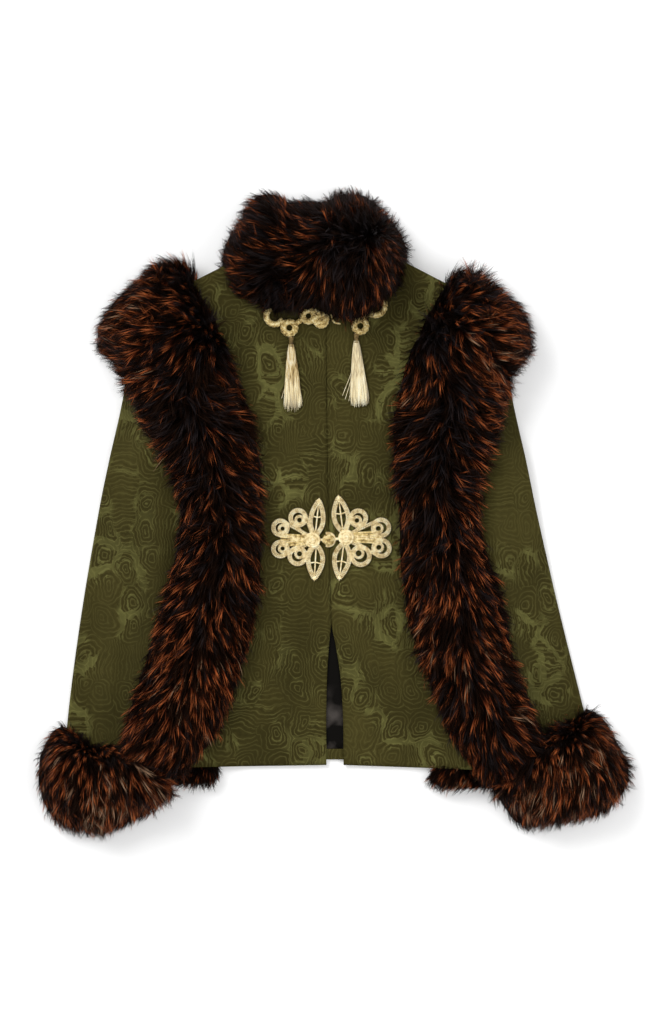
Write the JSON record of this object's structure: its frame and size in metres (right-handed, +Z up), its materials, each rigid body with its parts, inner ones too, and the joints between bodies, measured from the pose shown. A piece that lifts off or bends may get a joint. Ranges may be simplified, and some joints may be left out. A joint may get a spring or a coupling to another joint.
{
  "type": "chinese brocade jacket",
  "caption": "Short olive brocade jacket laid flat, with a dark fur collar, fur-edged cape sleeves, fur cuffs, gold frog closures at neck and waist, and silk tassels.",
  "frame": {"origin": "on the underside of the back, near the middle of the jacket, on the surface it lies on", "axes": "+Z up from the surface, out of the fronts; +Y from the hem to the collar; +X to the right as seen from above"},
  "size_m": [0.6551, 0.7156, 0.096],
  "materials": {
    "brocade": "olive silk brocade with a satin pattern woven in",
    "lining": "dark violet-grey satin lining",
    "fur": "long dark brown fur with rust-coloured tufts",
    "gold_braid": "flat braid of pale gold thread",
    "tassel_silk": "loose pale gold silk thread"
  },
  "bodies": {
    "root": {"back": "brocade", "front_left": "brocade", "front_right": "brocade", "sleeve_left": "brocade", "sleeve_right": "brocade", "back_lining": "lining", "back_hem_facing": "brocade", "collar_stand": "brocade", "collar_fur": "fur", "fur_band_left": "fur", "fur_band_right": "fur", "fur_under_left": "fur", "fur_under_right": "fur", "fur_shoulder_left": "fur", "fur_shoulder_right": "fur", "fur_cuff_left": "fur", "fur_cuff_right": "fur", "waist_frog_left": "gold_braid", "waist_frog_right": "gold_braid", "neck_frog_left": "gold_braid", "neck_frog_right": "gold_braid", "tassel_left": "tassel_silk", "tassel_right": "tassel_silk"}
  },
  "joints": []
}
